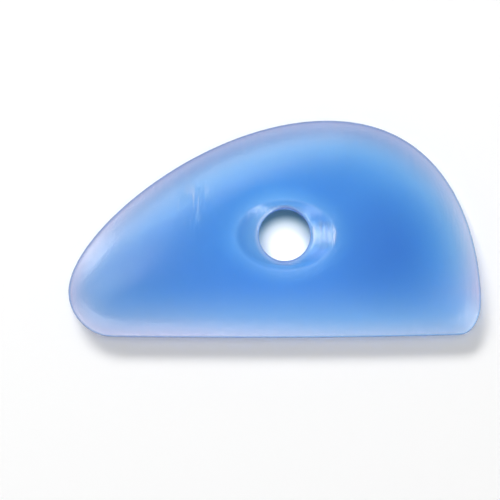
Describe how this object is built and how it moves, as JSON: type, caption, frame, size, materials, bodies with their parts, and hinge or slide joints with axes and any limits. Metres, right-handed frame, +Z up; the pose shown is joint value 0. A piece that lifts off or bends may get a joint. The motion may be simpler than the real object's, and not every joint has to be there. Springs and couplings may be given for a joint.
{
  "type": "pottery rib",
  "caption": "Half-teardrop pottery rib of translucent blue urethane, with thin rounded edges, an oval finger dish in each face and a round hole, for shaping wet clay.",
  "frame": {"origin": "centre of the bounding box in plan, on the plane that the rib lies on", "axes": "+X runs from the nose to the heel, along the working edge; +Y from the working edge to the crown; +Z up, out of the front face and along the hole"},
  "size_m": [0.0748, 0.0394, 0.006],
  "materials": {
    "urethane": "gloss"
  },
  "bodies": {
    "root": {"rib": "urethane"}
  },
  "joints": []
}
